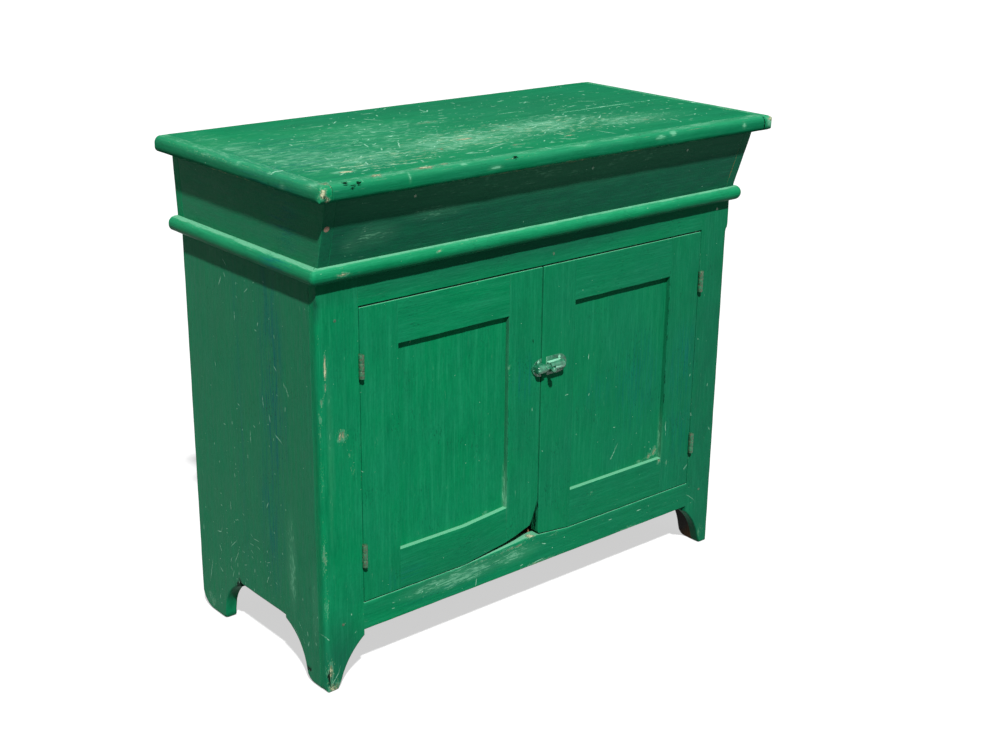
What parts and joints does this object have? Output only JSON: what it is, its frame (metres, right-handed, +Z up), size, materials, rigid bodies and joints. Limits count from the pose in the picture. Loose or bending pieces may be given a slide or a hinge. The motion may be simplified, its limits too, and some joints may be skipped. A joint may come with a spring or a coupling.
{
  "type": "dry sink cabinet",
  "caption": "Country dry sink with a lift-lid well whose front is canted outwards, a half-round bead, panelled cupboard doors, a slide latch and bracket feet.",
  "frame": {"origin": "centre of the footprint of the bounding box, on the floor", "axes": "+X to the object's right as its doors are faced, +Y towards its back, +Z up"},
  "size_m": [0.987, 0.489, 0.866],
  "materials": {
    "painted_pine": "old green paint, satin, worn through on the arrises",
    "bare_pine": "unpainted, darkened with age",
    "latch_casting": "cast iron painted over with the cabinet's green",
    "bolt_steel": "worn bare, brown",
    "hinge_steel": "wrought steel, rusted, with paint left on it",
    "screw_steel": "dull"
  },
  "bodies": {
    "case": {"side_left": "painted_pine", "side_right": "painted_pine", "face_stile_left": "painted_pine", "face_stile_right": "painted_pine", "shelf_cleat_left": "bare_pine", "shelf_cleat_right": "bare_pine", "well_end_left": "painted_pine", "well_end_right": "painted_pine", "bead_left": "painted_pine", "bead_right": "painted_pine", "bead_front": "painted_pine", "face_rail_top": "painted_pine", "face_rail_bottom": "painted_pine", "back_board_1": "bare_pine", "back_board_2": "bare_pine", "back_board_3": "bare_pine", "back_board_4": "bare_pine", "cupboard_floor": "bare_pine", "well_floor": "bare_pine", "shelf": "bare_pine", "door_stops": "bare_pine", "well_front": "painted_pine", "well_back": "painted_pine", "lid_hinge_leaves_well": "hinge_steel", "lid_hinge_pins": "hinge_steel", "door_left_hinge_leaves_frame": "hinge_steel", "door_left_hinge_pins": "hinge_steel", "door_right_hinge_leaves_frame": "hinge_steel", "door_right_hinge_pins": "hinge_steel", "case_screws": "screw_steel"},
    "lid": {"lid_nosing_left": "painted_pine", "lid_nosing_right": "painted_pine", "lid_nosing_front": "painted_pine", "lid_batten_left": "bare_pine", "lid_batten_right": "bare_pine", "lid_board_front": "painted_pine", "lid_board_rear": "painted_pine", "lid_hinge_leaves_lid": "hinge_steel", "lid_screws": "screw_steel"},
    "door_left": {"door_left_stile_hinge": "painted_pine", "door_left_stile_meeting": "painted_pine", "door_left_rail_top": "painted_pine", "door_left_rail_bottom": "painted_pine", "door_left_panel": "painted_pine", "door_left_hinge_leaves_door": "hinge_steel", "door_left_screws": "screw_steel", "latch_keeper": "latch_casting", "turn_button_screw": "screw_steel"},
    "door_right": {"door_right_stile_hinge": "painted_pine", "door_right_stile_meeting": "painted_pine", "door_right_rail_top": "painted_pine", "door_right_rail_bottom": "painted_pine", "door_right_panel": "painted_pine", "door_right_hinge_leaves_door": "hinge_steel", "door_right_screws": "screw_steel", "latch_plate": "latch_casting"},
    "latch_bolt": {"latch_bolt": "bolt_steel"},
    "turn_button": {"turn_button": "bare_pine"}
  },
  "joints": [
    {"name": "lid_hinge", "type": "hinge", "parent": "case", "child": "lid", "pos_m": [0, 0.24045, 0.83825], "axis": [-1, 0, 0], "range_deg": [0, 105]},
    {"name": "door_left_hinge", "type": "hinge", "parent": "case", "child": "door_left", "pos_m": [-0.38325, -0.18485, 0.3985], "axis": [0, 0, -1], "range_deg": [0, 175]},
    {"name": "door_right_hinge", "type": "hinge", "parent": "case", "child": "door_right", "pos_m": [0.38925, -0.18485, 0.3985], "axis": [0, 0, 1], "range_deg": [0, 175]},
    {"name": "bolt_slide", "type": "slide", "parent": "door_right", "child": "latch_bolt", "axis": [-1, 0, 0], "range_m": [-0.009, 0.005]},
    {"name": "button_turn", "type": "hinge", "parent": "door_left", "child": "turn_button", "pos_m": [-0.0399, -0.15565, 0.6355], "axis": [0, 1, 0], "range_deg": [0, 90]}
  ]
}
